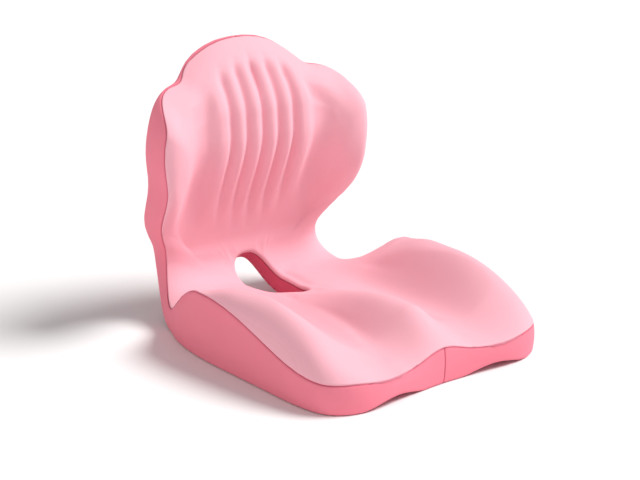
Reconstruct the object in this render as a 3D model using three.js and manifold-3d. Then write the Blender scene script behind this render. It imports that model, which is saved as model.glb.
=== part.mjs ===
// One-piece seat and back cushion: moulded foam in a zipped cloth cover.
// Millimetres, +Z up, front edge towards -Y, X across. The floor under the seat is z = 0.
// The cushion is drawn on a bent sheet: u runs across, v runs back along the seat, round the
// fold and up the back, and h stands at right angles to the sheet, towards the sitter.
import * as THREE from 'three';
import Module from 'manifold-3d';

const wasm = await Module();
wasm.setup();

// ---- driving dimensions -------------------------------------------------------------------
const seatHalf = 244;        // half of the seat's width
const waistHalf = 171;       // half of the width where seat and back join
const wingHalf = 226;        // half of the width over the back's side wings
const shoulderHalf = 139;    // half of the width where the wings meet the domed top
const panHeight = 60;        // floor to the sitting surface
const seatRun = 480;         // flat length of the sheet before the fold
const foldRadius = 70;       // radius of the fold on the sitter's side
const backRise = 363;        // straight length of the sheet above the fold
const backThickness = 40;    // foam and cover at the foot of the back
const frontDip = 12;         // how far the middle of the front edge stands back
const ridgeHeight = 33;      // rise of the middle ridge behind the front edge
const bolsterHeight = 78;    // rise of the hip bolsters
const lumbarHeight = 74;     // rise of the lumbar swell
const wingHeight = 92;       // rise of the wing edges
const rearCurl = 66;         // how far the wings' rear edges curl forward
const archHeight = 11;       // lift of the underside over each thigh at the front
const holeFront = 364;       // v of the tailbone opening's front tip
const holeLength = 188;      // length of the tailbone opening along the sheet
const holeHalf = 50;         // half of its width at the rear
const holeRelief = 18;       // how far the underside is hollowed round it
const rollWidth = 18;        // width of the cover's rounded edge inside the seam
const rollRise = 3;          // least rise of the rounded edge above the seam
const bottomRound = 5;       // rounding between side band and underside
const clothThickness = 1.6;
const linerThickness = 0.8;
const layerGap = 0.4;        // between cover and liner
const foamGap = 0.5;         // between liner and foam
const seamGap = 0.4;         // each panel's setback from its seam line
const flexForward = 25;      // degrees that the back folds towards the seat
const flexRear = 15;         // degrees that it leans away
const flexSpare = 3;         // extra degrees cut out on each side of the flex line
const zipLength = 270;
const zipRise = 30;          // middle of the zip above the end of the fold
const tapeWidth = 12;
const tapeThickness = 1;
const coilWidth = 4;
const coilHeight = 2.2;
const sliderLength = 10;
const sliderWidth = 9;
const plateThickness = 1.4;
const pinRadius = 0.9;
const pullLength = 30;
const pullWidth = 5;
const bladeThickness = 1.4;
const eyeWall = 1;           // wall of the pull's eye round the pin
const postWidth = 2.4;       // the two posts that hold the pin
const postThickness = 1.2;
const fit = 0.35;            // clearance between parts that move or touch

// ---- the bent sheet -----------------------------------------------------------------------
const foldArc = foldRadius * Math.PI / 2;
const topV = seatRun + foldArc + backRise;
const waistV = seatRun + 0.73 * foldArc;

function smooth(from, to, x) {
  const t = Math.min(1, Math.max(0, (x - from) / (to - from)));
  return t * t * (3 - 2 * t);
}

function bump(x) {
  return Math.abs(x) < 1 ? (1 - x * x) ** 2 : 0;
}

function bell(x, width) {
  return Math.exp(-((x / width) ** 2));
}

const mix = (a, b, t) => a + (b - a) * t;

// Point of the sheet at v, in the (y, z) plane, with its normal towards the sitter.
function sheetAt(v) {
  const turn = Math.min(1, Math.max(0, (v - seatRun) / foldArc)) * Math.PI / 2;
  const climb = Math.max(0, v - seatRun - foldArc);
  const y = v < seatRun ? v : seatRun + foldRadius * Math.sin(turn);
  const z = panHeight + foldRadius * (1 - Math.cos(turn)) + climb;
  return { y, z, ny: -Math.sin(turn), nz: Math.cos(turn) };
}

function place(u, v, h) {
  const s = sheetAt(v);
  return new THREE.Vector3(u, s.y + s.ny * h, s.z + s.nz * h);
}

const seatShare = (v) => v / waistV;
const backShare = (v) => (v - waistV) / (topV - waistV);

// Height of the seam between face cloth and side band.
function seamHeight(u, v) {
  const a = Math.abs(u);
  const p = seatShare(v);
  const q = backShare(v);
  const front = -15 + 19 * bell(u, 50) * (1 - smooth(0, 60, v)) + 5 * smooth(120, 200, a);
  const seat = front + 68 * smooth(0.05, 0.6, p) - 76 * smooth(0.64, 0.9, p);
  const rise = (wingHeight + 2) * smooth(-0.06, 0.44, q);
  const back = rise - 8 - (wingHeight + 4) * smooth(0.65, 0.93, q);
  return mix(seat, back, smooth(seatRun, seatRun + 0.85 * foldArc, v));
}

// Height of the sitting surface.
function faceHeight(u, v) {
  const a = Math.abs(u);
  const p = seatShare(v);
  const q = backShare(v);
  const pan = -14 * (1 - smooth(0, 90, v)) - 7 * bell(u, 90) * bell(v - waistV + 90, 90);
  const ridgeRun = 18 + ridgeHeight * smooth(10, 70, v) - (ridgeHeight + 8) * smooth(0.25, 0.68, p);
  const ridge = ridgeRun * bell(u, 48) * (1 - smooth(0.625, 0.77, p));
  const hip = 8 + bolsterHeight * smooth(-0.17, 0.41, p) - (bolsterHeight + 12) * smooth(0.48, 0.9, p);
  const bolster = hip * smooth(seatHalf - 149, seatHalf - 22, a) ** 1.2;
  const lumbar = lumbarHeight * (smooth(0.03, 0.6, q) - 0.676 * smooth(0.69, 1, q));
  const wing = smooth(wingHalf - 101, wingHalf - 11, a) ** 1.3;
  const crest = 6 + 16 * smooth(0.15, 0.4, q) * (1 - smooth(0.7, 0.88, q));
  const back = mix(lumbar, Math.max(seamHeight(u, v) + crest, 0), wing);
  return mix(pan + ridge + bolster, back, smooth(seatRun, seatRun + 0.85 * foldArc, v));
}

// Height of the underside and of the rear face, below the sheet.
function underHeight(u, v) {
  const a = Math.abs(u);
  const q = backShare(v);
  const arch = archHeight * bump((a - 112) / 75) * (1 - smooth(0, 150, v));
  const curl = rearCurl * smooth(wingHalf - 136, wingHalf + 2, a) * smooth(-0.04, 0.48, q);
  const shoulderFold = 12 * bump((a - shoulderHalf) / 80) * bump((q - 0.845) / 0.2);
  const brow = 18 * smooth(0.71, 1, q) * (1 - smooth(110, 222, a)) + shoulderFold;
  const relief = holeRelief * bump(u / 130) * bump((v - waistV + 75) / 105);
  const seat = -panHeight + arch;
  const back = -backThickness + curl + brow;
  return mix(seat, back, smooth(seatRun, seatRun + foldArc, v)) + relief;
}

// Right half of the outline from the middle of the front edge to the middle of the top.
function halfOutline() {
  const wingFoot = waistV + 52;
  const shoulder = topV - 66;
  const up = (share) => mix(wingFoot, shoulder, share);
  return [
    [0, frontDip], [60, frontDip - 4], [seatHalf - 124, 0], [seatHalf - 56, 5],
    [seatHalf - 17, 30], [seatHalf - 2, 78], [seatHalf, 0.29 * waistV], [seatHalf - 1, 0.46 * waistV],
    [seatHalf - 4, 0.64 * waistV], [seatHalf - 13, waistV - 140],
    [mix(waistHalf, seatHalf, 0.6), waistV - 90], [waistHalf + 21, waistV - 49],
    [waistHalf + 3, waistV - 13], [waistHalf + 3, waistV + 20], [waistHalf + 20, wingFoot],
    [mix(waistHalf, wingHalf, 0.78), up(0.156)], [wingHalf - 6, up(0.375)],
    [wingHalf, up(0.6)], [wingHalf - 11, up(0.82)], [wingHalf - 33, up(0.95)],
    [shoulderHalf + 23, shoulder], [shoulderHalf, topV - 61], [shoulderHalf - 17, topV - 46],
    [0.68 * shoulderHalf, topV - 25], [0.37 * shoulderHalf, topV - 6], [0, topV],
  ];
}

const rightSide = halfOutline();
const leftSide = rightSide.slice(1, -1).reverse().map(([u, v]) => [-u, v]);
const outline = rightSide.concat(leftSide);

// Egg-shaped opening: t is an angle, with its narrow tip at the front.
function holeAt(t) {
  const halfLength = holeLength / 2;
  const width = holeHalf * (0.72 + 0.28 * Math.sin(t));
  const across = Math.abs(Math.cos(t)) ** 0.75 * Math.sign(Math.cos(t));
  return [width * across, holeFront + halfLength + halfLength * Math.sin(t)];
}

// ---- the surface of the whole cushion as a closed grid --------------------------------------
// Columns go round the outline. Rows go from the opening's top rim over the face to the seam,
// down the side, along the underside and up the opening's wall.
const faceShares = [0, 0.1, 0.25, 0.42, 0.6, 0.78, 0.9, 1];
const rollShares = [0.55, 1];
const underShares = [0.72, 0.45, 0.2, 0];
const seamRow = faceShares.length + rollShares.length - 1;
const bandRow = seamRow + 2;           // last row of the side band
const holeRow = bandRow + 1 + underShares.length;   // lower rim of the opening
const rowCount = holeRow + 2;
const columnCount = outline.length;

function insetPoint(i, distance) {
  const before = outline[(i + columnCount - 1) % columnCount];
  const after = outline[(i + 1) % columnCount];
  const du = after[0] - before[0];
  const dv = after[1] - before[1];
  const size = Math.hypot(du, dv);
  return [outline[i][0] - distance * dv / size, outline[i][1] + distance * du / size];
}

function column(i) {
  const edge = outline[i];
  const middle = holeFront + holeLength / 2;
  const rim = holeAt(Math.atan2((edge[1] - middle) / 1.2, edge[0]));
  const roll = insetPoint(i, rollWidth);
  const foot = insetPoint(i, bottomRound);
  const seam = seamHeight(edge[0], edge[1]);
  const floor = underHeight(edge[0], edge[1]);
  const lift = Math.max(0, seam + rollRise - faceHeight(roll[0], roll[1]));
  const points = [];
  for (const share of faceShares) {
    const u = mix(rim[0], roll[0], share);
    const v = mix(rim[1], roll[1], share);
    points.push(place(u, v, faceHeight(u, v) + lift * share ** 4));
  }
  for (const share of rollShares) {
    const u = mix(roll[0], edge[0], share);
    const v = mix(roll[1], edge[1], share);
    const crown = Math.sqrt(1 - share * share);
    points.push(place(u, v, mix(seam, faceHeight(u, v) + lift, crown)));
  }
  points.push(place(edge[0], edge[1], mix(seam, floor, 0.5)));
  points.push(place(edge[0], edge[1], floor + Math.min(bottomRound, (seam - floor) / 4)));
  points.push(place(foot[0], foot[1], underHeight(foot[0], foot[1])));
  for (const share of underShares) {
    const u = mix(rim[0], foot[0], share);
    const v = mix(rim[1], foot[1], share);
    points.push(place(u, v, underHeight(u, v)));
  }
  points.push(place(rim[0], rim[1], mix(underHeight(rim[0], rim[1]), faceHeight(rim[0], rim[1]), 0.5)));
  return points;
}

const grid = outline.map((_, i) => column(i));
const columnAt = (i) => (i + columnCount) % columnCount;
const rowAt = (j) => (j + rowCount) % rowCount;
const pointAt = (i, j) => grid[columnAt(i)][rowAt(j)];

// Direction of the grid line through (i, j): the mean of the ways to both neighbours.
function wayThrough(before, here, after) {
  const coming = here.clone().sub(before).normalize();
  const going = after.clone().sub(here).normalize();
  return coming.add(going).normalize();
}

// Outward normal: cross product of the two grid lines through a point.
function normalAt(i, j) {
  const along = wayThrough(pointAt(i - 1, j), pointAt(i, j), pointAt(i + 1, j));
  const across = wayThrough(pointAt(i, j - 1), pointAt(i, j), pointAt(i, j + 1));
  return across.cross(along).normalize();
}

// Each normal is eased with its neighbours' along the row, so that layers never fold over.
function easedNormalAt(i, j) {
  const sum = normalAt(i, j).multiplyScalar(2);
  return sum.add(normalAt(i + 1, j)).add(normalAt(i - 1, j)).normalize();
}

const normals = grid.map((points, i) => points.map((_, j) => easedNormalAt(i, j)));

function solidOf(positions, triangles) {
  const mesh = new wasm.Mesh({
    numProp: 3,
    vertProperties: new Float32Array(positions),
    triVerts: new Uint32Array(triangles),
  });
  return new wasm.Manifold(mesh);
}

function solidOfGeometry(geometry) {
  const source = geometry.index ? geometry.toNonIndexed() : geometry;
  const corner = source.getAttribute('position');
  const seen = new Map();
  const positions = [];
  const corners = [];
  for (let k = 0; k < corner.count; k += 1) {
    const point = [corner.getX(k), corner.getY(k), corner.getZ(k)].map(Math.fround);
    const key = point.map((value) => Math.round(value * 1e4)).join();
    if (!seen.has(key)) {
      seen.set(key, positions.length / 3);
      positions.push(...point);
    }
    corners.push(seen.get(key));
  }
  const triangles = [];
  for (let k = 0; k < corners.length; k += 3) {
    const [a, b, c] = corners.slice(k, k + 3);
    if (a !== b && b !== c && a !== c) triangles.push(a, b, c);
  }
  return solidOf(positions, triangles);
}

function geometryOf(solid) {
  const mesh = solid.getMesh();
  const geometry = new THREE.BufferGeometry();
  const positions = [];
  for (let k = 0; k < mesh.vertProperties.length; k += mesh.numProp) {
    positions.push(...mesh.vertProperties.slice(k, k + 3));
  }
  geometry.setAttribute('position', new THREE.Float32BufferAttribute(positions, 3));
  geometry.setIndex(Array.from(mesh.triVerts));
  geometry.computeVertexNormals();
  return geometry;
}

// The whole cushion shrunk by a depth, as one solid with its opening through it.
function core(depth) {
  const positions = [];
  const triangles = [];
  for (let i = 0; i < columnCount; i += 1) {
    for (let j = 0; j < rowCount; j += 1) {
      const point = pointAt(i, j).clone().addScaledVector(normals[i][j], -depth);
      positions.push(point.x, point.y, point.z);
      const a = i * rowCount + j;
      const b = columnAt(i + 1) * rowCount + j;
      const c = columnAt(i + 1) * rowCount + rowAt(j + 1);
      const d = i * rowCount + rowAt(j + 1);
      triangles.push(a, c, b, a, d, c);
    }
  }
  return solidOf(positions, triangles);
}

// A sheet of cloth over the grid squares that `covers(i, j)` picks, between two depths, with
// its edges set back from the seams.
function panel(covers, outerDepth, innerDepth, setback = seamGap) {
  const has = (i, j) => covers(columnAt(i), rowAt(j));
  const index = new Map();
  const positions = [];
  const triangles = [];
  const corner = (i, j, side) => {
    const ci = columnAt(i);
    const rj = rowAt(j);
    const key = `${ci}/${rj}/${side}`;
    if (!index.has(key)) {
      const depth = side ? innerDepth : outerDepth;
      const point = pointAt(ci, rj).clone().addScaledVector(normals[ci][rj], -depth);
      const ahead = has(ci, rj) || has(ci, rj - 1);
      const behind = has(ci - 1, rj) || has(ci - 1, rj - 1);
      const above = has(ci, rj) || has(ci - 1, rj);
      const below = has(ci, rj - 1) || has(ci - 1, rj - 1);
      const pull = (target) => {
        const way = target.clone().sub(pointAt(ci, rj)).normalize();
        point.addScaledVector(way, setback);
      };
      if (ahead !== behind) pull(pointAt(ci + (ahead ? 1 : -1), rj));
      if (above !== below) pull(pointAt(ci, rj + (above ? 1 : -1)));
      index.set(key, positions.length / 3);
      positions.push(point.x, point.y, point.z);
    }
    return index.get(key);
  };
  const wall = (i0, j0, i1, j1) => {
    const a = corner(i0, j0, 0);
    const b = corner(i1, j1, 0);
    const c = corner(i1, j1, 1);
    const d = corner(i0, j0, 1);
    triangles.push(a, c, b, a, d, c);
  };
  for (let i = 0; i < columnCount; i += 1) {
    for (let j = 0; j < rowCount; j += 1) {
      if (!has(i, j)) continue;
      const outer = [corner(i, j, 0), corner(i + 1, j, 0), corner(i + 1, j + 1, 0), corner(i, j + 1, 0)];
      const inner = [corner(i, j, 1), corner(i + 1, j, 1), corner(i + 1, j + 1, 1), corner(i, j + 1, 1)];
      triangles.push(outer[0], outer[2], outer[1], outer[0], outer[3], outer[2]);
      triangles.push(inner[0], inner[1], inner[2], inner[0], inner[2], inner[3]);
      if (!has(i, j - 1)) wall(i + 1, j, i, j);
      if (!has(i, j + 1)) wall(i, j + 1, i + 1, j + 1);
      if (!has(i - 1, j)) wall(i, j, i, j + 1);
      if (!has(i + 1, j)) wall(i + 1, j + 1, i + 1, j);
    }
  }
  return solidOf(positions, triangles);
}

// ---- the flex line between seat and back ----------------------------------------------------
const flexTurn = THREE.MathUtils.degToRad(80);
const flexV = seatRun + foldRadius * flexTurn;
const flexPoint = place(0, flexV, underHeight(0, flexV) / 2);
const notchDepth = 72;       // reach of the notches on each side of the flex line
const beyond = 1400;         // larger than the cushion

// Prism that keeps one side of the flex line: a notch opens it on both faces.
function keepSide(sign) {
  const across = new THREE.Vector2(-Math.sin(flexTurn), Math.cos(flexTurn));
  const along = new THREE.Vector2(Math.cos(flexTurn), Math.sin(flexTurn)).multiplyScalar(sign);
  const forward = THREE.MathUtils.degToRad((flexForward + flexSpare) / 2);
  const rear = THREE.MathUtils.degToRad((flexRear + flexSpare) / 2);
  const origin = new THREE.Vector2(flexPoint.y, flexPoint.z).addScaledVector(along, fit);
  const at = (a, b) => origin.clone().addScaledVector(across, a).addScaledVector(along, b);
  const corners = [
    at(0, 0),
    at(notchDepth * Math.cos(forward), notchDepth * Math.sin(forward)),
    at(notchDepth + 2, 0), at(beyond, 0), at(beyond, beyond), at(-beyond, beyond), at(-beyond, 0),
    at(-notchDepth - 2, 0),
    at(-notchDepth * Math.cos(rear), notchDepth * Math.sin(rear)),
  ];
  const depth = 2 * seatHalf + 100;
  const geometry = new THREE.ExtrudeGeometry(new THREE.Shape(corners), { depth, bevelEnabled: false });
  // the shape's x, y and depth become y, z and x
  const turned = new THREE.Matrix4().set(0, 0, 1, 0, 1, 0, 0, 0, 0, 1, 0, 0, 0, 0, 0, 1);
  geometry.applyMatrix4(turned).translate(-depth / 2, 0, 0);
  return solidOfGeometry(geometry);
}

const seatSpace = keepSide(-1);
const backSpace = keepSide(1);

// ---- cover, liner and foam ------------------------------------------------------------------
const linerDepth = clothThickness + layerGap;
const foamDepth = linerDepth + linerThickness + foamGap;
const topColumn = rightSide.length - 1;
const isRight = (i) => i < topColumn;
const isBand = (j) => j >= seamRow && j < bandRow;
const isUnder = (j) => j >= bandRow && j < holeRow;

const faceCloth = panel((i, j) => j < seamRow, 0, clothThickness);
const rightBand = panel((i, j) => isBand(j) && isRight(i), 0, clothThickness);
const leftBand = panel((i, j) => isBand(j) && !isRight(i), 0, clothThickness);
const underCloth = panel((i, j) => isUnder(j), 0, clothThickness);
const holeBand = panel((i, j) => j >= holeRow, 0, clothThickness);
const linerInside = core(linerDepth + linerThickness);
const liner = core(linerDepth).subtract(linerInside);
const foam = core(foamDepth);

// ---- the zip on the rear face ---------------------------------------------------------------
const rearY = seatRun + foldRadius + backThickness;
const zipZ = panHeight + foldRadius + zipRise;

function block(width, depth, height, x, y, z) {
  const geometry = new THREE.BoxGeometry(width, depth, height);
  geometry.translate(x, y, z);
  return solidOfGeometry(geometry);
}

// The slot goes through the rear panel only: what lies deeper is taken off the cutter.
const slotDepth = 60;
const slotFloor = rearY - clothThickness - layerGap / 2;
const slot = block(zipLength + 2 * fit, slotDepth, 2 * tapeWidth + 4 * fit, 0, rearY, zipZ)
  .subtract(block(zipLength + 20, slotDepth, 2 * tapeWidth + 20, 0, slotFloor - slotDepth / 2, zipZ));

function tape(side) {
  const z = zipZ + side * (tapeWidth + fit) / 2;
  return block(zipLength, tapeThickness, tapeWidth - fit, 0, rearY - tapeThickness / 2 - fit, z);
}

function halfRound(length, radius, height) {
  const shape = new THREE.Shape();
  shape.moveTo(-radius, 0);
  shape.lineTo(radius, 0);
  shape.lineTo(0.7 * radius, 0.8 * height);
  shape.lineTo(0, height);
  shape.lineTo(-0.7 * radius, 0.8 * height);
  const geometry = new THREE.ExtrudeGeometry(shape, { depth: length, bevelEnabled: false });
  // the shape's x, y and depth become z, y and x
  geometry.applyMatrix4(new THREE.Matrix4().set(0, 0, 1, -length / 2, 0, 1, 0, 0, -1, 0, 0, 0, 0, 0, 0, 1));
  return geometry;
}

const coilBase = rearY;
const stopLength = 5;
const coilLength = zipLength - 2 * stopLength - 2 * fit;
const coilGeometry = halfRound(coilLength, coilWidth / 2, coilHeight);
coilGeometry.translate(0, coilBase, zipZ);
const sliderX = coilLength / 2 - sliderLength / 2;
const channelTop = coilBase + coilHeight + fit;
const plateTop = channelTop + plateThickness;
const pinY = plateTop + pinRadius + plateThickness + fit;

function sliderSolid() {
  const depth = plateTop - coilBase;
  const shell = block(sliderLength, depth, sliderWidth, sliderX, coilBase + depth / 2, zipZ);
  const channelHeight = 2 * (channelTop - coilBase);
  const channelWidth = coilWidth + 2 * fit;
  const channel = block(sliderLength + 2, channelHeight, channelWidth, sliderX, coilBase, zipZ);
  const postHeight = pinY + pinRadius - plateTop;
  const postZ = (pullWidth + postThickness) / 2 + fit;
  const postY = plateTop + postHeight / 2 - 0.1;
  const post = (side) => {
    const z = zipZ + side * postZ;
    return block(postWidth, postHeight + 0.2, postThickness, sliderX, postY, z);
  };
  const pin = new THREE.CylinderGeometry(pinRadius, pinRadius, 2 * postZ, 12);
  pin.rotateX(Math.PI / 2);
  pin.translate(sliderX, pinY, zipZ);
  return shell.subtract(channel).add(post(1)).add(post(-1)).add(solidOfGeometry(pin));
}

function pullSolid() {
  const eyeRadius = pinRadius + fit + eyeWall;
  const eye = new THREE.CylinderGeometry(eyeRadius, eyeRadius, pullWidth, 16);
  eye.rotateX(Math.PI / 2);
  eye.translate(sliderX, pinY, zipZ);
  const bore = new THREE.CylinderGeometry(pinRadius + fit, pinRadius + fit, pullWidth + 2, 16);
  bore.rotateX(Math.PI / 2);
  bore.translate(sliderX, pinY, zipZ);
  const blade = block(pullLength, bladeThickness, pullWidth, sliderX - pullLength / 2, pinY, zipZ);
  return solidOfGeometry(eye).add(blade).subtract(solidOfGeometry(bore));
}

function stopSolid(side) {
  const x = side * (zipLength - stopLength) / 2;
  return block(stopLength, coilHeight, coilWidth + 2, x, coilBase + coilHeight / 2, zipZ);
}

// ---- colours and the finished group ---------------------------------------------------------
const finishes = {
  face: { color: '#fdc2ce', roughness: 0.85, metalness: 0 },
  band: { color: '#ec7890', roughness: 0.8, metalness: 0 },
  opening: { color: '#c04c63', roughness: 0.85, metalness: 0 },
  underside: { color: '#c9697c', roughness: 0.9, metalness: 0 },
  liner: { color: '#f4f1ec', roughness: 0.9, metalness: 0 },
  foam: { color: '#efe3c8', roughness: 0.95, metalness: 0 },
  tape: { color: '#d9657c', roughness: 0.8, metalness: 0 },
  coil: { color: '#c95a70', roughness: 0.5, metalness: 0 },
  metal: { color: '#b9bcc0', roughness: 0.3, metalness: 1 },
};

const cushion = new THREE.Group();

function addNode(name, solid, finish) {
  const mesh = new THREE.Mesh(geometryOf(solid), new THREE.MeshStandardMaterial(finishes[finish]));
  mesh.name = name;
  cushion.add(mesh);
}

addNode('seat_foam_core', foam.intersect(seatSpace), 'foam');
addNode('seat_foam_liner', liner.intersect(seatSpace), 'liner');
addNode('seat_face_panel', faceCloth.intersect(seatSpace), 'face');
addNode('seat_side_band_left', leftBand.intersect(seatSpace), 'band');
addNode('seat_side_band_right', rightBand.intersect(seatSpace), 'band');
addNode('tailbone_opening_band', holeBand.intersect(seatSpace), 'opening');
addNode('seat_underside_panel', underCloth.intersect(seatSpace), 'underside');
addNode('back_foam_core', foam.intersect(backSpace), 'foam');
addNode('back_foam_liner', liner.intersect(backSpace), 'liner');
addNode('back_face_panel', faceCloth.intersect(backSpace), 'face');
addNode('back_side_band_left', leftBand.intersect(backSpace), 'band');
addNode('back_side_band_right', rightBand.intersect(backSpace), 'band');
addNode('back_rear_panel', underCloth.intersect(backSpace).subtract(slot), 'underside');
addNode('zip_tape_upper', tape(1), 'tape');
addNode('zip_tape_lower', tape(-1), 'tape');
addNode('zip_coil', solidOfGeometry(coilGeometry), 'coil');
addNode('zip_top_stop', stopSolid(1), 'metal');
addNode('zip_bottom_stop', stopSolid(-1), 'metal');
addNode('zip_slider', sliderSolid(), 'metal');
addNode('zip_pull', pullSolid(), 'metal');

// The origin is on the floor under the middle of the cushion's bounding box.
const bounds = new THREE.Box3().setFromObject(cushion);
const centre = bounds.getCenter(new THREE.Vector3());
for (const mesh of cushion.children) mesh.geometry.translate(-centre.x, -centre.y, -bounds.min.z);

export default cushion;
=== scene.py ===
# One-piece seat and back cushion: a knit cover over moulded foam, with a zip on its rear face.
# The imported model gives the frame; new cloth, foam and zip parts are laid over it in the same place.
import math
import bmesh
import bpy
import numpy as np
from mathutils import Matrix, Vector


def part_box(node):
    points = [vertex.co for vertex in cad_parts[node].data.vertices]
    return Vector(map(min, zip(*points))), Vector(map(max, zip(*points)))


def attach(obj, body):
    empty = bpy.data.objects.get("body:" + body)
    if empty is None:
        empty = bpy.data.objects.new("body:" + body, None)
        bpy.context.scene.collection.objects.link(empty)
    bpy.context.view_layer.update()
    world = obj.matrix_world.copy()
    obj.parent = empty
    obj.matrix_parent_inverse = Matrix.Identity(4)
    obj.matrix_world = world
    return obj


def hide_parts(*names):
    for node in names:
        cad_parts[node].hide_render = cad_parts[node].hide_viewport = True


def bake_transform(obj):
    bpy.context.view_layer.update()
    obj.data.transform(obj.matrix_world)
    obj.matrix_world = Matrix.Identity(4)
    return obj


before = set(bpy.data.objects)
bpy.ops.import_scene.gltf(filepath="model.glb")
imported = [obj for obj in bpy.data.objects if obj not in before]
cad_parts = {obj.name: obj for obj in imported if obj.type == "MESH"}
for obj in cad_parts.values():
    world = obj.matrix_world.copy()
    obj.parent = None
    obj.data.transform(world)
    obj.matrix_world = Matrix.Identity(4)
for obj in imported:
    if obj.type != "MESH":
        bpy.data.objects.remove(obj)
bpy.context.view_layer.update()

scene = bpy.context.scene
print("frame loaded:", len(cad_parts), "solids")

# The cushion is drawn on a bent sheet: u runs across, v runs back along the seat, round the fold
# and up the back, and h stands at right angles to it towards the sitter. All in millimetres.
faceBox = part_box("seat_face_panel")
cushion = {
    "seatHalf": (faceBox[1].x - faceBox[0].x) * 500,
    "waistHalf": 171, "wingHalf": 226, "shoulderHalf": 139,
    "panHeight": 60, "seatRun": 480, "foldRadius": 70, "backRise": 363, "backThickness": 40,
    "frontDip": 12, "ridgeHeight": 33, "bolsterHeight": 78, "lumbarHeight": 74, "wingHeight": 92,
    "rearCurl": 66, "archHeight": 11,
    "holeFront": 364, "holeLength": 188, "holeHalf": 50, "holeRelief": 18,
    "rollWidth": 18, "rollRise": 3, "bottomRound": 5, "rimRound": 7, "rimFoot": 3,
    "bandBulge": 2.4, "zipRise": 30, "zipRecess": 1.8,
}
foldArc = cushion["foldRadius"] * math.pi / 2
topV = cushion["seatRun"] + foldArc + cushion["backRise"]
waistV = cushion["seatRun"] + 0.73 * foldArc
zipV = cushion["seatRun"] + foldArc + cushion["zipRise"]
holeMiddle = cushion["holeFront"] + cushion["holeLength"] / 2
rearPlane = cushion["seatRun"] + cushion["foldRadius"] + cushion["backThickness"]
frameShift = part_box("zip_coil")[0].y * 1000 - rearPlane     # sheet y to row y


def smooth(start, end, x):      # eased step from 0 at start to 1 at end
    t = np.clip((x - start) / (end - start), 0, 1)
    return t * t * (3 - 2 * t)


def bump(x):        # hump of height 1 that ends at -1 and 1
    return np.where(np.abs(x) < 1, (1 - x * x) ** 2, 0)


def bell(x, width):
    return np.exp(-((x / width) ** 2))


def mix(a, b, t):
    return a + (b - a) * t


def placeOn(u, v, h):       # flat to seatRun, a quarter circle, then straight up; h along the normal
    turn = np.clip((v - cushion["seatRun"]) / foldArc, 0, 1) * math.pi / 2
    climb = np.maximum(0, v - cushion["seatRun"] - foldArc)
    y = np.minimum(v, cushion["seatRun"]) + cushion["foldRadius"] * np.sin(turn)
    z = cushion["panHeight"] + cushion["foldRadius"] * (1 - np.cos(turn)) + climb
    return np.stack([u + 0 * v, y - np.sin(turn) * h + frameShift, z + np.cos(turn) * h], -1) / 1000


def toBack(v):      # 0 on the seat, 1 on the back
    return smooth(cushion["seatRun"], cushion["seatRun"] + 0.85 * foldArc, v)


def seamHeight(u, v):       # seam between face and side band: eased steps up to the hips and the wings
    a, p, q = np.abs(u), v / waistV, (v - waistV) / (topV - waistV)
    front = -15 + 19 * bell(u, 50) * (1 - smooth(0, 60, v)) + 5 * smooth(120, 200, a)
    seat = front + 68 * smooth(0.05, 0.6, p) - 76 * smooth(0.64, 0.9, p)
    wings = cushion["wingHeight"]
    back = -8 + (wings + 2) * smooth(-0.06, 0.44, q) - (wings + 4) * smooth(0.65, 0.93, q)
    return mix(seat, back, toBack(v))


def faceHeight(u, v):
    # seat: flat pan, bell-shaped ridge and hip bolsters; back: lumbar swell easing into the wings
    a, p, q = np.abs(u), v / waistV, (v - waistV) / (topV - waistV)
    pan = -14 * (1 - smooth(0, 90, v)) - 7 * bell(u, 90) * bell(v - waistV + 90, 90)
    rise = cushion["ridgeHeight"]
    ridge = 18 + rise * smooth(10, 70, v) - (rise + 8) * smooth(0.25, 0.68, p)
    ridge = ridge * bell(u, 48) * (1 - smooth(0.625, 0.77, p))
    hips = cushion["bolsterHeight"]
    bolster = 8 + hips * smooth(-0.17, 0.41, p) - (hips + 12) * smooth(0.48, 0.9, p)
    bolster = bolster * smooth(cushion["seatHalf"] - 149, cushion["seatHalf"] - 22, a) ** 1.2
    lumbar = cushion["lumbarHeight"] * (smooth(0.03, 0.6, q) - 0.676 * smooth(0.69, 1, q))
    wing = smooth(cushion["wingHalf"] - 101, cushion["wingHalf"] - 11, a) ** 1.3
    crest = 6 + 16 * smooth(0.15, 0.4, q) * (1 - smooth(0.7, 0.88, q))
    back = mix(lumbar, np.maximum(seamHeight(u, v) + crest, 0), wing)
    return mix(pan + ridge + bolster, back, toBack(v))


def underHeight(u, v):      # flat underside with two low arches; rear face curling forward at the wings
    a, q = np.abs(u), (v - waistV) / (topV - waistV)
    arch = cushion["archHeight"] * bump((a - 112) / 75) * (1 - smooth(0, 150, v))
    curl = smooth(cushion["wingHalf"] - 136, cushion["wingHalf"] + 2, a) * smooth(-0.04, 0.48, q)
    brow = 18 * smooth(0.71, 1, q) * (1 - smooth(110, 222, a))
    brow = brow + 12 * bump((a - cushion["shoulderHalf"]) / 80) * bump((q - 0.845) / 0.2)
    relief = cushion["holeRelief"] * bump(u / 130) * bump((v - waistV + 75) / 105)
    recess = cushion["zipRecess"] * (1 - smooth(12.5, 21, np.abs(v - zipV))) * (1 - smooth(136, 144, a))
    back = -cushion["backThickness"] + cushion["rearCurl"] * curl + brow + recess
    share = smooth(cushion["seatRun"], cushion["seatRun"] + foldArc, v)
    return mix(-cushion["panHeight"] + arch, back, share) + relief


ribs = {"spacing": 35, "depth": 11.5, "valley": 0.06, "outer": 87.5, "rootStart": 93, "rootEnd": 124,
        "rootDrop": 13, "rootBack": 190, "lowEnd": 590, "fade": 130, "lowRise": 26, "topClear": 5}


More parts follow.
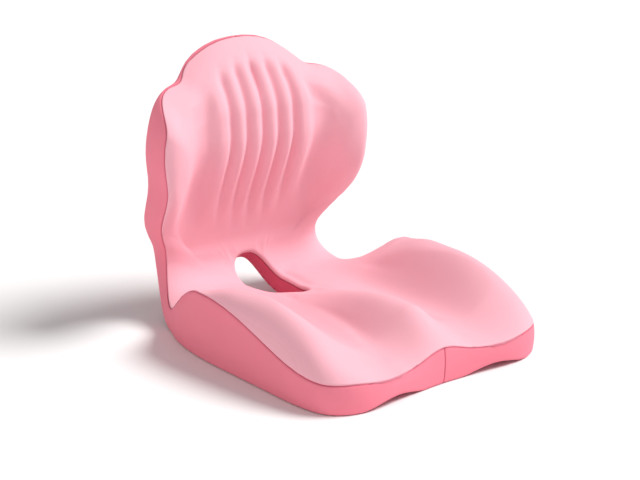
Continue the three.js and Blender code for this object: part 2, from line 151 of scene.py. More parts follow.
def ribHeight(u, v):
    # softened root of a squared sine: broad round ribs with narrow valleys, fading out at both
    # ends, and a drop outside the last rib to the root of each wing
    a = np.abs(u)
    floor = math.sqrt(ribs["valley"])
    wave = np.sqrt(np.sin(math.pi * u / ribs["spacing"]) ** 2 + ribs["valley"]) - floor
    wave = np.where(a < ribs["outer"], wave / (math.sqrt(1 + ribs["valley"]) - floor), 1)
    root = smooth(ribs["rootStart"], ribs["rootEnd"], a)
    root = root * (1 - smooth(ribs["rootEnd"] + 6, ribs["rootBack"], a))
    low = ribs["lowEnd"] + ribs["lowRise"] * (a / 90) ** 2
    high = topV - 25 * (a / 94) ** 2.1 - ribs["topClear"]
    valleys = -ribs["depth"] * (1 - wave) * smooth(low, low + ribs["fade"], v)
    valleys = valleys * (1 - smooth(high - 42, high, v))
    drop = -ribs["rootDrop"] * root * smooth(600, 720, v) * (1 - smooth(high - 60, high, v))
    return valleys + drop


def outlinePoints():
    # right half from the middle of the front to the middle of the top, then mirrored
    s, waist, wing, shoulder = (cushion[k] for k in ("seatHalf", "waistHalf", "wingHalf", "shoulderHalf"))
    up = lambda share: mix(waistV + 52, topV - 66, share)
    right = [
        (0, cushion["frontDip"]), (60, cushion["frontDip"] - 4), (s - 124, 0), (s - 56, 5), (s - 17, 30),
        (s - 2, 78), (s, 0.29 * waistV), (s - 1, 0.46 * waistV), (s - 4, 0.64 * waistV),
        (s - 13, waistV - 140), (mix(waist, s, 0.6), waistV - 90), (waist + 21, waistV - 49),
        (waist + 3, waistV - 13), (waist + 3, waistV + 20), (waist + 20, waistV + 52),
        (mix(waist, wing, 0.78), up(0.156)),
        (wing - 6, up(0.375)), (wing, up(0.6)), (wing - 11, up(0.82)), (wing - 33, up(0.95)),
        (shoulder + 23, topV - 66), (shoulder, topV - 61), (shoulder - 17, topV - 46),
        (0.68 * shoulder, topV - 25), (0.37 * shoulder, topV - 6), (0, topV),
    ]
    return np.array(right + [(-u, v) for u, v in reversed(right[1:-1])], float)


def closedSpline(points, samples):
    # periodic cubic spline by chord length: second derivatives from one linear system
    n = len(points)
    after = np.roll(points, -1, axis=0)
    size = np.linalg.norm(after - points, axis=1)
    k = np.arange(n)
    matrix = np.zeros((n, n))
    matrix[k, k] = (np.roll(size, 1) + size) / 3
    matrix[k, (k + 1) % n] = size / 6
    matrix[k, (k - 1) % n] = np.roll(size, 1) / 6
    slope = (after - points) / size[:, None]
    second = np.linalg.solve(matrix, slope - np.roll(slope, 1, axis=0))
    t = np.linspace(0, n, n * samples, endpoint=False)
    i = t.astype(int)
    b = (t - i)[:, None]
    a, j, w = 1 - b, (i + 1) % n, size[i][:, None] ** 2 / 6
    return a * points[i] + b * points[j] + w * ((a ** 3 - a) * second[i] + (b ** 3 - b) * second[j])


mesh = {"columns": 600, "face": 84, "roll": 24, "band": 20, "bottom": 5, "under": 58, "wall": 12}
seamColumns = np.array([0, 0.5, 1, 1.6, 2.4, 3.4])       # mm on each side of the band's two joins

curve = closedSpline(outlinePoints(), 60)
loop = np.vstack([curve, curve[:1]])
runs = np.concatenate([[0], np.cumsum(np.linalg.norm(np.diff(loop, axis=0), axis=1))])
girth = runs[-1]


def columnRuns(count):      # even steps round the outline, with extra columns beside the joins
    even = np.linspace(0, girth, count, endpoint=False)
    front = [seamColumns, girth - seamColumns[1:]]
    top = [girth / 2 - seamColumns[::-1], girth / 2 + seamColumns[1:]]
    near = np.concatenate(front + top)
    far = np.min(np.abs(even[:, None] - np.append(near, girth)[None, :]), axis=1) > 1.4
    return np.unique(np.round(np.concatenate([even[far], near]), 6))


def edgeAt(s):      # outline point and inward normal at a run along the outline
    at = lambda x: np.stack([np.interp(x % girth, runs, loop[:, k]) for k in (0, 1)], -1)
    way = at(s + 1.5) - at(s - 1.5)
    way = way / np.linalg.norm(way, axis=1)[:, None]
    return at(s), np.stack([-way[:, 1], way[:, 0]], -1)


def rimAt(edge):        # egg-shaped opening, met by a ray from its middle to the outline
    t = np.arctan2((edge[:, 1] - holeMiddle) / 1.2, edge[:, 0])
    across = np.abs(np.cos(t)) ** 0.75 * np.sign(np.cos(t))
    half = cushion["holeLength"] / 2
    width = cushion["holeHalf"] * (0.72 + 0.28 * np.sin(t))
    return np.stack([width * across, holeMiddle + half * np.sin(t)], -1)


def closedGrid(s, rows):
    # rows x columns of (u, v, h) round the whole cover: face, rolled edge, band, rounded foot,
    # underside and the opening's wall; also each row's place for easing between grids
    edge, inward = edgeAt(s)
    rim = rimAt(edge)
    roll = edge + inward * cushion["rollWidth"]
    foot = edge + inward * cushion["bottomRound"]
    seam = seamHeight(edge[:, 0], edge[:, 1])
    floor = underHeight(edge[:, 0], edge[:, 1])
    lift = np.maximum(0, seam + cushion["rollRise"] - faceHeight(roll[:, 0], roll[:, 1]))
    parts, places = [], []

    def add(base, uv, h, places0):
        parts.append(np.concatenate([uv, h[..., None]], -1))
        places.append(base + np.asarray(places0, float))

    reach = np.linalg.norm(roll - rim, axis=1)
    near = np.array([0.0])
    if rows["fine"]:        # close rows over the opening's rounded rim
        near = np.array([0, 0.03, 0.12, 0.27, 0.48, 0.74, 1.0, 1.35]) * cushion["rimRound"]
    t = np.linspace(0, 1, rows["face"] + 1)[1:]
    distance = np.vstack([np.tile(near[:, None], (1, len(s))), near[-1] + (reach - near[-1]) * t[:, None]])
    share = distance / reach
    uv = mix(rim[None], roll[None], share[..., None])
    gap = 1 - np.clip(distance / cushion["rimRound"], 0, 1)
    h = faceHeight(uv[..., 0], uv[..., 1]) + lift * share ** 4
    h = h - cushion["rimRound"] * (1 - np.sqrt(1 - gap ** 2))
    add(0, uv, h, share.mean(axis=1))

    t = np.linspace(0, 1, rows["roll"] + 1)[1:]
    turn = math.pi / 2 * (1 - (1 - t) ** rows["ease"])[:, None]
    uv = mix(roll[None], edge[None], np.sin(turn)[..., None])
    top = faceHeight(uv[..., 0], uv[..., 1]) + lift
    add(1, uv, mix(seam, top, np.cos(turn)), t)

    t = np.linspace(0, 1, rows["band"] + 1)[1:]
    t = 0.5 - 0.5 * np.cos(math.pi * t) if rows["fine"] else t
    low = floor + np.minimum(cushion["bottomRound"], (seam - floor) / 4)
    bulge = cushion["bandBulge"] * np.sin(math.pi * t[:, None]) ** 0.8 * np.minimum(1, (seam - floor) / 60)
    add(2, edge[None] - inward[None] * bulge[..., None], mix(seam, low, t[:, None]), t)

    t = np.linspace(0, 1, rows["bottom"] + 1)[1:]
    turn = (math.pi / 2 * t)[:, None]
    uv = mix(foot[None], edge[None], np.cos(turn)[..., None])
    under = underHeight(foot[:, 0], foot[:, 1])
    add(3, uv, mix(low, under, np.sin(turn)), t)

    t = np.linspace(0, 1, rows["under"] + 1)[1:]
    t = 1 - (1 - t) ** 1.25 if rows["fine"] else t
    uv = mix(foot[None], rim[None], t[:, None, None])
    gap = 1 - np.clip(np.linalg.norm(uv - rim[None], axis=-1) / cushion["rimFoot"], 0, 1)
    h = underHeight(uv[..., 0], uv[..., 1]) + cushion["rimFoot"] * (1 - np.sqrt(1 - gap ** 2))
    add(4, uv, h, t)

    t = np.linspace(0, 1, rows["wall"] + 1)[1:-1]
    bottom = underHeight(rim[:, 0], rim[:, 1]) + cushion["rimFoot"]
    top = faceHeight(rim[:, 0], rim[:, 1]) - cushion["rimRound"]
    add(5, np.tile(rim[None], (len(t), 1, 1)), mix(bottom, top, t[:, None]), t)
    return np.vstack(parts), np.concatenate(places)


def runDown(points):        # mm run along each column from its first row
    steps = np.linalg.norm(np.diff(points, axis=0), axis=-1)
    return np.vstack([np.zeros((1, points.shape[1])), np.cumsum(steps, axis=0)]) * 1000


def gridNormals(points):        # cross product of the two grid lines through each point, eased twice
    across = np.roll(points, -1, axis=0) - np.roll(points, 1, axis=0)
    along = np.roll(points, -1, axis=1) - np.roll(points, 1, axis=1)
    normals = np.cross(across, along)
    normals /= np.linalg.norm(normals, axis=-1)[..., None] + 1e-12
    for _ in range(2):
        normals = 2 * normals + np.roll(normals, 1, 1) + np.roll(normals, -1, 1)
        normals /= np.linalg.norm(normals, axis=-1)[..., None] + 1e-12
    return normals


def newMesh(name, points, faces, uv=None, values=None):
    # points n x 3, faces m x 4, uv one pair per corner, values one number per point: the painted seam shade
    made = bpy.data.meshes.new(name)
    made.vertices.add(len(points))
    made.vertices.foreach_set("co", np.asarray(points, np.float32).ravel())
    made.loops.add(faces.size)
    made.loops.foreach_set("vertex_index", faces.astype(np.int32).ravel())
    made.polygons.add(len(faces))
    made.polygons.foreach_set("loop_start", np.arange(0, faces.size, faces.shape[1], dtype=np.int32))
    made.update(calc_edges=True)
    made.validate()
    made.shade_smooth()
    if uv is not None:
        layer = made.uv_layers.new(name="clothRun")
        layer.data.foreach_set("uv", np.asarray(uv, np.float32).ravel())
    if values is not None:
        # per-point painted seam shade, read by the cloth materials
        paintedSeamShade = made.attributes.new("paintedSeamShade", "FLOAT", "POINT")
        paintedSeamShade.data.foreach_set("value", np.asarray(values, np.float32).ravel())
    thing = bpy.data.objects.new(name, made)
    scene.collection.objects.link(thing)
    return thing


def gridFaces(rows, columns, wrapRows=False, wrapColumns=False):
    r = np.arange(rows if wrapRows else rows - 1)[:, None]
    c = np.arange(columns if wrapColumns else columns - 1)[None, :]
    at = lambda i, j: (i % rows) * columns + j % columns
    return np.stack([at(r, c), at(r + 1, c), at(r + 1, c + 1), at(r, c + 1)], -1).reshape(-1, 4)


def gridPiece(name, points, uv, paintedSeamShade, wrapColumns=False):
    # uv has one column more than the points where the grid closes on itself
    rows, columns = points.shape[:2]
    faces = gridFaces(rows, columns, wrapColumns=wrapColumns)
    wide = uv.shape[1]
    r = np.arange(rows - 1)[:, None]
    c = np.arange(wide - 1)[None, :]
    corners = np.stack([r * wide + c, (r + 1) * wide + c, (r + 1) * wide + c + 1, r * wide + c + 1], -1)
    return newMesh(name, points.reshape(-1, 3), faces, uv.reshape(-1, 2)[corners.ravel()], paintedSeamShade.ravel())


clothThickness = 0.0014


def makeCloth(thing, name):     # thickness grown inwards, and the cloth's material
    step = thing.modifiers.new("clothThickness", "SOLIDIFY")
    step.thickness = clothThickness
    step.offset = -1
    thing.data.materials.append(materials[name])


class NodeRun:      # helpers for one material's nodes
    def __init__(self, name):
        self.material = bpy.data.materials.new(name)
        self.material.use_nodes = True
        self.tree = self.material.node_tree
        self.shader = self.tree.nodes["Principled BSDF"]

    def add(self, kind, **values):
        node = self.tree.nodes.new(kind)
        for key, value in values.items():
            setattr(node, key, value)
        return node

    def link(self, source, target):
        if hasattr(source, "links"):
            self.tree.links.new(source, target)
        else:
            target.default_value = source

    def math(self, operation, a, b=0.0, c=0.0):
        node = self.add("ShaderNodeMath", operation=operation)
        for socket, value in zip(node.inputs, (a, b, c)):
            self.link(value, socket)
        return node.outputs[0]

    def blend(self, factor, a, b):
        node = self.add("ShaderNodeMix", data_type="RGBA")
        self.link(factor, node.inputs[0])
        self.link(a, node.inputs[6])
        self.link(b, node.inputs[7])
        return node.outputs[2]

    def colour(self, factor, light, dark):      # base colour between two display colours
        self.link(self.blend(factor, linear(*light), linear(*dark)), self.shader.inputs["Base Color"])

    def wave(self, value, pitch):       # sine that repeats every pitch
        return self.math("SINE", self.math("MULTIPLY", value, 2 * math.pi / pitch))

    def place(self):        # x and z on the piece, in metres
        split = self.add("ShaderNodeSeparateXYZ")
        self.link(self.add("ShaderNodeTexCoord").outputs["Object"], split.inputs[0])
        return split.outputs[0], split.outputs[2]

    def noise(self, scale, detail=2.0, roughness=0.5):
        place = self.add("ShaderNodeTexCoord").outputs["Object"]
        node = self.add("ShaderNodeTexNoise")
        self.link(place, node.inputs["Vector"])
        node.inputs["Scale"].default_value = scale
        node.inputs["Detail"].default_value = detail
        node.inputs["Roughness"].default_value = roughness
        return node.outputs["Fac"]

    def uv(self):
        split = self.add("ShaderNodeSeparateXYZ")
        self.link(self.add("ShaderNodeUVMap", uv_map="clothRun").outputs[0], split.inputs[0])
        return split.outputs[0], split.outputs[1]

    def attribute(self, name):
        return self.add("ShaderNodeAttribute", attribute_name=name).outputs["Fac"]

    def bumpInto(self, height, depth, strength=1.0):
        node = self.add("ShaderNodeBump")
        node.inputs["Distance"].default_value = depth
        node.inputs["Strength"].default_value = strength
        self.link(height, node.inputs["Height"])
        self.link(node.outputs[0], self.shader.inputs["Normal"])


def linear(red, green, blue):       # 0-255 display values to the shader's linear colour
    x = np.array([red, green, blue]) / 255
    return (*np.where(x <= 0.04045, x / 12.92, ((x + 0.055) / 1.055) ** 2.4), 1)


def knitMaterial(name, look):
    # rows of small V-shaped loops from the cloth's own run in mm, over faint mottling and fuzz, with
    # painted shade along the seams
    run = NodeRun(name)
    u, v = run.uv()
    wale = run.math("SUBTRACT", run.math("FRACT", run.math("DIVIDE", u, look["wale"])), 0.5)
    side = run.math("ABSOLUTE", wale)
    course = run.math("MULTIPLY_ADD", side, 1.1, run.math("DIVIDE", v, look["course"]))
    loops = run.math("SINE", run.math("MULTIPLY", course, 2 * math.pi))
    gutter = run.math("SUBTRACT", 1.0, run.math("POWER", run.math("MULTIPLY", side, 2.0), 3.0))
    height = run.math("MULTIPLY", run.math("MULTIPLY_ADD", loops, 0.3, 0.7), gutter)
    fuzz = run.noise(1400, 2)
    mottle = run.noise(22, 3, 0.6)
    height = run.math("MULTIPLY_ADD", fuzz, 0.5, height)
    shade = run.math("MULTIPLY", run.math("SUBTRACT", 1.2, height), look["loopShade"])
    shade = run.math("MULTIPLY_ADD", run.math("SUBTRACT", mottle, 0.5), look["mottle"], shade)
    # painted shade: the cloth is darkened in the seam grooves, at the opening's rim and at the band's joins
    shade = run.math("MULTIPLY_ADD", run.attribute("paintedSeamShade"), look["paintedSeamShadeAmount"], shade)
    shade = run.math("MINIMUM", run.math("MAXIMUM", shade, 0.0), 1.0)
    run.colour(shade, look["colour"], look["shade"])
    run.link(run.math("MULTIPLY_ADD", mottle, 0.12, look["roughness"]), run.shader.inputs["Roughness"])
    run.shader.inputs["Specular IOR Level"].default_value = 0.3
    run.shader.inputs["Sheen Weight"].default_value = look["sheen"]
    run.shader.inputs["Sheen Roughness"].default_value = 0.45
    run.shader.inputs["Sheen Tint"].default_value = linear(*look["sheenTint"])
    run.bumpInto(height, look["bump"])
    return run.material


knits = {
    "faceKnit": {
        "colour": (250, 184, 197), "shade": (212, 112, 134), "sheenTint": (255, 226, 232), "sheen": 0.25,
        "wale": 1.5, "course": 1.2, "loopShade": 0.1, "mottle": 0.07, "paintedSeamShadeAmount": 0.75,
        "roughness": 0.78, "bump": 0.00016},
    "bandKnit": {
        "colour": (249, 137, 156), "shade": (190, 60, 92), "sheenTint": (255, 190, 204), "sheen": 0.15,
        "wale": 1.3, "course": 1.1, "loopShade": 0.12, "mottle": 0.08, "paintedSeamShadeAmount": 0.7,
        "roughness": 0.72, "bump": 0.00014},
    # a darker copy of the band's cloth: painted shade for the opening's wall, which lies in shadow inside
    # the hole
    "openingKnitPaintedShade": {
        "colour": (226, 92, 120), "shade": (140, 30, 60), "sheenTint": (255, 180, 196), "sheen": 0.12,
        "wale": 1.3, "course": 1.1, "loopShade": 0.14, "mottle": 0.08, "paintedSeamShadeAmount": 0.7,
        "roughness": 0.75, "bump": 0.00014},
}
materials = {name: knitMaterial(name, look) for name, look in knits.items()}


grip = {"pitch": 11.0, "radius": 0.2, "edge": 0.035, "lastRow": 545.0, "height": 0.0006,
        "weave": 2 * math.pi / 5.6}


def gripMaterial():     # coarse cloth with staggered rows of small round rubber dots under the seat only
    run = NodeRun("gripCloth")
    u, v = run.uv()
    across = run.math("DIVIDE", u, grip["pitch"])
    rows = run.math("DIVIDE", v, grip["pitch"] * 0.5)
    stagger = run.math("MULTIPLY", run.math("FLOORED_MODULO", run.math("FLOOR", rows), 2.0), 0.5)
    x = run.math("SUBTRACT", run.math("FRACT", run.math("ADD", across, stagger)), 0.5)
    y = run.math("MULTIPLY", run.math("SUBTRACT", run.math("FRACT", rows), 0.5), 0.5)
    radius = run.math("SQRT", run.math("ADD", run.math("MULTIPLY", x, x), run.math("MULTIPLY", y, y)))
    dot = run.math("DIVIDE", run.math("SUBTRACT", grip["radius"], radius), grip["edge"])
    dot = run.math("MINIMUM", run.math("MAXIMUM", dot, 0.0), 1.0)
    dot = run.math("MULTIPLY", dot, run.math("LESS_THAN", v, grip["lastRow"]))
    weave = run.math("MULTIPLY", run.wave(u, grip["weave"]), run.wave(v, grip["weave"]))
    tone = run.math("MULTIPLY_ADD", weave, 0.12, run.math("MULTIPLY", run.noise(20, 3), 0.4))
    # painted shade: the underside cloth is darkened along its seams and the opening's rim
    tone = run.math("MULTIPLY_ADD", run.attribute("paintedSeamShade"), 0.6, tone)
    cloth = run.blend(tone, linear(240, 124, 146), linear(186, 66, 94))
    run.link(run.blend(dot, cloth, linear(176, 58, 86)), run.shader.inputs["Base Color"])
    run.link(run.math("MULTIPLY_ADD", dot, -0.4, 0.82), run.shader.inputs["Roughness"])
    run.bumpInto(run.math("MULTIPLY_ADD", weave, 0.12, dot), grip["height"])
    return run.material


materials["gripCloth"] = gripMaterial()


def foamMaterial():     # open-cell foam: fine pores over a warm cream
    run = NodeRun("creamFoam")
    pores = run.noise(900, 4, 0.7)
    tone = run.math("MULTIPLY", run.noise(12, 2), 0.5)
    run.colour(tone, (243, 231, 204), (225, 205, 168))
    run.shader.inputs["Roughness"].default_value = 0.95
    run.bumpInto(pores, 0.0006)
    return run.material


def linerMaterial():    # thin stretch lining: fine crossed threads
    run = NodeRun("whiteLining")
    u, v = run.uv()
    threads = 2 * math.pi / 9       # mm from thread to thread
    cross = run.math("MULTIPLY", run.wave(u, threads), run.wave(v, threads))
    tone = run.math("MULTIPLY_ADD", cross, 0.2, 0.3)
    run.colour(tone, (247, 245, 240), (222, 218, 210))
    run.shader.inputs["Roughness"].default_value = 0.85
    run.bumpInto(cross, 0.0001)
    return run.material


view = {"target": (-12, 150, 120), "azimuth": -42.0, "elevation": 19.2, "distance": 2655, "lens": 90,
        "right": 0.039375, "down": 0.033125}      # target off the lens axis: share of the distance


def makeCamera():
    target = Vector((view["target"][0], view["target"][1] + frameShift, view["target"][2])) / 1000
    a, e = math.radians(view["azimuth"]), math.radians(view["elevation"])
    away = Vector((math.sin(a) * math.cos(e), -math.cos(a) * math.cos(e), math.sin(e)))
    right = Vector((math.cos(a), math.sin(a), 0))
    up = away.cross(right)
    distance = view["distance"] / 1000
    aim = target - right * view["right"] * distance + up * view["down"] * distance
    camera = bpy.data.objects.new("camera", bpy.data.cameras.new("camera"))
    camera.location = target + away * distance
    camera.rotation_euler = (aim - camera.location).to_track_quat("-Z", "Y").to_euler()
    camera.data.lens = view["lens"]
    camera.data.sensor_width = 36
    scene.collection.objects.link(camera)
    scene.camera = camera


studio = {      # soft suns: where each stands, its strength, and how wide it looks in degrees
    "key": {"place": (0.55, -0.36, 0.75), "strength": 3.3, "angle": 28, "colour": (1.0, 0.99, 0.98)},
    "fill": {"place": (-0.95, -0.08, 0.22), "strength": 0.62, "angle": 40, "colour": (1.0, 0.98, 0.98)},
    "world": 0.36,
}


def makeLights():
    for name in ("key", "fill"):
        values = studio[name]
        light = bpy.data.lights.new(name, "SUN")
        light.energy = values["strength"]
        light.angle = math.radians(values["angle"])
        light.color = values["colour"]
        lamp = bpy.data.objects.new(name, light)
        lamp.rotation_euler = (-Vector(values["place"])).to_track_quat("-Z", "Y").to_euler()
        scene.collection.objects.link(lamp)
    world = bpy.data.worlds.new("softRoom")
    world.use_nodes = True
    world.node_tree.nodes["Background"].inputs[0].default_value = (1, 0.995, 0.99, 1)
    world.node_tree.nodes["Background"].inputs[1].default_value = studio["world"]
    scene.world = world
    scene.view_settings.view_transform = "Standard"


def makeFloor():
    corners = np.array([(-40, -40, -0.0004), (40, -40, -0.0004), (40, 40, -0.0004), (-40, 40, -0.0004)])
    floor = newMesh("studioFloor", corners, np.array([[0, 1, 2, 3]]))
    run = NodeRun("paleFloor")
    tone = run.noise(3, 2)
    shade = run.blend(tone, (0.95, 0.95, 0.952, 1), (0.93, 0.93, 0.93, 1))
    run.link(shade, run.shader.inputs["Base Color"])
    run.shader.inputs["Roughness"].default_value = 0.7
    floor.data.materials.append(run.material)


makeCamera()
makeLights()
makeFloor()
print("camera, lights and floor made")

# the cover's slight swell between its seams
swell = {"columns": 150, "face": 22, "roll": 4, "band": 5, "bottom": 1, "under": 10, "wall": 3,
         "pressure": 4.0, "frames": 20, "cap": 3.0}


def settleCover(s, places):
    # a coarse closed copy of the cover, held at its seams, is blown up by a light inner
    # pressure; its capped movement is eased onto the fine grid
    rows = {**swell, "fine": False, "ease": 1.0}
    runsHere = np.linspace(0, girth, swell["columns"], endpoint=False)
    grid, coarsePlaces = closedGrid(runsHere, rows)
    points = placeOn(grid[..., 0], grid[..., 1], grid[..., 2])
    faces = gridFaces(*points.shape[:2], wrapRows=True, wrapColumns=True)
    cloth = newMesh("coverSettling", points.reshape(-1, 3), faces)
    free = ((coarsePlaces > 0.03) & (coarsePlaces < 1.99)) | ((coarsePlaces > 2.05) & (coarsePlaces < 2.95))
    held = cloth.vertex_groups.new(name="sewn")
    heldIndex = np.nonzero(np.repeat(~free, points.shape[1]))[0]
    held.add([int(i) for i in heldIndex], 1.0, "REPLACE")
    step = cloth.modifiers.new("settle", "CLOTH")
    step.settings.vertex_group_mass = "sewn"
    step.settings.use_pressure = True
    step.settings.uniform_pressure_force = swell["pressure"]
    step.settings.quality = 6
    step.settings.tension_stiffness = 20
    step.settings.compression_stiffness = 20
    step.settings.bending_stiffness = 1.5
    step.settings.effector_weights.gravity = 0
    step.point_cache.frame_end = swell["frames"]
    for number in range(1, swell["frames"] + 1):
        scene.frame_set(number)
    shown = cloth.evaluated_get(bpy.context.evaluated_depsgraph_get()).to_mesh()
    after = np.empty(len(shown.vertices) * 3, np.float32)
    shown.vertices.foreach_get("co", after)
    moved = after.reshape(points.shape) - points
    scene.frame_set(1)
    bpy.data.objects.remove(cloth, do_unlink=True)
    size = np.linalg.norm(moved, axis=-1)[..., None] * 1000 + 1e-9
    moved = moved * np.minimum(size, swell["cap"]) / size
    print("cover settled: mean movement %.2f mm, capped at %.1f mm" % (size.mean(), swell["cap"]))
    closedRun = np.append(runsHere, girth)
    order = np.argsort(coarsePlaces)
    known = coarsePlaces[order]
    axes = []
    for k in range(3):      # first round the outline, then down the columns
        wide = np.stack([np.interp(s, closedRun, np.append(row, row[0])) for row in moved[..., k]])[order]
        axes.append(np.stack([np.interp(places, known, wide[:, c]) for c in range(len(s))], 1))
    tall = np.stack(axes, -1)
    for _ in range(6):
        tall = (2 * tall + np.roll(tall, 1, 1) + np.roll(tall, -1, 1)) / 4
        inner = (2 * tall[1:-1] + tall[:-2] + tall[2:]) / 4
        tall = np.concatenate([tall[:1], inner, tall[-1:]])
    return tall


# the fine grid of the whole cover
columns = columnRuns(mesh["columns"])
grid, places = closedGrid(columns, {**mesh, "fine": True, "ease": 1.6})
surface = placeOn(grid[..., 0], grid[..., 1], grid[..., 2])
count = len(columns)
faceEnd = 8 + mesh["face"] + mesh["roll"] - 1       # row of the seam between face and band
footRow = faceEnd + mesh["band"] + mesh["bottom"]     # row of the seam between band and underside
rimRow = footRow + mesh["under"]       # row of the seam between underside and opening wall
topColumn = int(np.argmin(np.abs(columns - girth / 2)))
atZip = (1 - smooth(24, 60, np.abs(grid[..., 1] - zipV))) * (1 - smooth(142, 180, np.abs(grid[..., 0])))
atZip = atZip * (np.arange(len(surface)) > footRow)[:, None]       # stiff tapes hold the panel flat
surface = surface + settleCover(columns, places) * (1 - atZip)[..., None]


shoulder = {"passes": 300, "from": 2.0, "full": 10.0, "fade": 46.0, "end": 100.0}


def easeShoulder(points):
    # the rolled edge flows into the face: points near the seam are averaged again and again
    # with their neighbours along each column
    for number in range(shoulder["passes"]):
        if number % 30 == 0:
            run = runDown(points)
            gap = run[faceEnd] - run
            share = smooth(shoulder["from"], shoulder["full"], gap)
            share = share * (1 - smooth(shoulder["fade"], shoulder["end"], gap))
        middle = (points[:-2] + points[2:]) / 2
        points[1:-1] = mix(points[1:-1], middle, 0.5 * share[1:-1, :, None])
    return points


surface = easeShoulder(surface)
down = runDown(surface)
ribShare = smooth(3, 20, down[faceEnd] - down) * (np.arange(len(surface)) < faceEnd)[:, None]
ribStep = ribShare * ribHeight(grid[..., 0], grid[..., 1])
surface = surface + gridNormals(surface) * (ribStep / 1000)[..., None]
normals = gridNormals(surface)

seams = {"depth": 1.5, "width": 1.5, "footDepth": 0.9, "rimDepth": 1.1, "joinDepth": 1.1, "joinWidth": 1.3,
         "pucker": 0.35, "puckerReach": 9.0, "shadeWidth": 1.5}
down = runDown(surface)
around = np.minimum(columns, girth - columns)
joinRun = np.minimum(around, np.abs(columns - girth / 2))
total = down[-1] + np.linalg.norm(surface[-1] - surface[0], axis=-1) * 1000


def seamRun(row):       # distance from a seam row, round the closed column
    gap = np.abs(down - down[row])
    return np.minimum(gap, total - gap)


seamGap, footGap, rimGap, underRimGap = (seamRun(row) for row in (faceEnd, footRow, 0, rimRow))
isBand = (np.arange(len(surface)) >= faceEnd) & (np.arange(len(surface)) <= footRow)
groove = seams["depth"] * bell(seamGap, seams["width"]) + seams["footDepth"] * bell(footGap, seams["width"])
groove = groove + seams["rimDepth"] * bell(rimGap, seams["width"])
groove = groove + seams["footDepth"] * bell(underRimGap, seams["width"])
groove = groove + isBand[:, None] * seams["joinDepth"] * bell(joinRun, seams["joinWidth"])[None]


def waver(s, seed):     # sum of a few long waves with fixed random phases, from -1 to 1
    rng = np.random.default_rng(seed)
    waves = rng.uniform(60, 170, 9).astype(int)
    phases = rng.uniform(0, 2 * math.pi, 9)
    return np.sin(2 * math.pi * waves[:, None] * s[None] / girth + phases[:, None]).sum(axis=0) / 4


pucker = seams["pucker"] * waver(columns, 5) * np.exp(-seamGap / seams["puckerReach"])
pucker = pucker + 0.5 * seams["pucker"] * waver(columns, 8) * np.exp(-footGap / seams["puckerReach"])
smoothSurface = surface
surface = surface + normals * ((pucker - groove) / 1000)[..., None]
# painted shade: 1 in the seam grooves, at the opening's rim and at the band's joins, fading within a few
# mm; the cloth materials darken there
paintedSeamShade = np.clip(bell(seamGap, seams["shadeWidth"]) + bell(footGap, seams["shadeWidth"])
                 + bell(rimGap, seams["shadeWidth"]) + isBand[:, None] * bell(joinRun, 1.1)[None], 0, 1)
print("cover grid:", surface.shape[0], "rows,", count, "columns")


def bendAtFlex(thing):
    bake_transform(thing)


wrapped = lambda values: np.concatenate([values, values[:, :1]], axis=1)
sheetRun = wrapped(grid[..., :2])
bandRun = np.stack([np.tile(columns, (len(surface), 1)), -down], -1)


def bandPiece(name, first, last, seat, back):
    rows = slice(faceEnd, footRow + 1)
    pick = np.arange(first, last + 1)
    uv = bandRun[rows][:, pick % count].copy()
    uv[..., 0] = np.where(pick >= count, girth, uv[..., 0])
    piece = gridPiece(name, surface[rows][:, pick % count], uv, paintedSeamShade[rows][:, pick % count])
    makeCloth(piece, "bandKnit")
    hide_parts(seat, back)
    bendAtFlex(piece)


faceRows = slice(0, faceEnd + 1)
faceCover = gridPiece("faceCover", surface[faceRows], sheetRun[faceRows], paintedSeamShade[faceRows], True)
makeCloth(faceCover, "faceKnit")
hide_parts("seat_face_panel", "back_face_panel")
bendAtFlex(faceCover)
bandPiece("sideBandRight", 0, topColumn, "seat_side_band_right", "back_side_band_right")
bandPiece("sideBandLeft", topColumn, count, "seat_side_band_left", "back_side_band_left")
print("face and side bands made")

wallRows = np.r_[rimRow:len(surface), 0]
wallShare = 0.19        # length of the opening's rim to that of the whole outline
wallRun = wrapped(np.stack([np.tile(columns * wallShare, (len(wallRows), 1)), -down[wallRows]], -1))
wallRun[:, -1, 0] = girth * wallShare
openingBand = gridPiece("openingBand", surface[wallRows], wallRun, paintedSeamShade[wallRows], True)
# the opening's wall gets the darker cloth: painted shade
makeCloth(openingBand, "openingKnitPaintedShade")
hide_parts("tailbone_opening_band")
bendAtFlex(openingBand)

underRows = slice(footRow, rimRow + 1)
underCover = gridPiece("underCover", surface[underRows], sheetRun[underRows], paintedSeamShade[underRows], True)
makeCloth(underCover, "gripCloth")
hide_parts("seat_underside_panel", "back_rear_panel")
bendAtFlex(underCover)
print("opening band and underside made")


def innerPiece(name, depth, material, slotName, *nodes):
    # every second point of the cover, moved in by a depth, without the rows beside the seams
    rows = np.arange(0, len(surface), 2)
    rows = rows[(rows < faceEnd - 9) | (rows > faceEnd + 3)]
    rows = rows[(rows < footRow - 3) | (rows > footRow)]
    cols = np.unique(np.r_[0:count:2, topColumn])
    points = (smoothSurface - normals * depth / 1000)[rows][:, cols]
    faces = gridFaces(len(rows), len(cols), wrapRows=True, wrapColumns=True)
    uv = grid[..., :2][rows][:, cols].reshape(-1, 2)[faces.ravel()]
    piece = newMesh(name, points.reshape(-1, 3), faces, uv)
    piece.data.materials.append(material)
    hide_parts(*nodes)
    bendAtFlex(piece)


linerDepth, foamDepth = 5.2, 6.8
innerPiece("foamLiner", linerDepth, linerMaterial(), "liner", "seat_foam_liner", "back_foam_liner")
innerPiece("foamCore", foamDepth, foamMaterial(), "foam", "seat_foam_core", "back_foam_core")
print("foam and liner made")


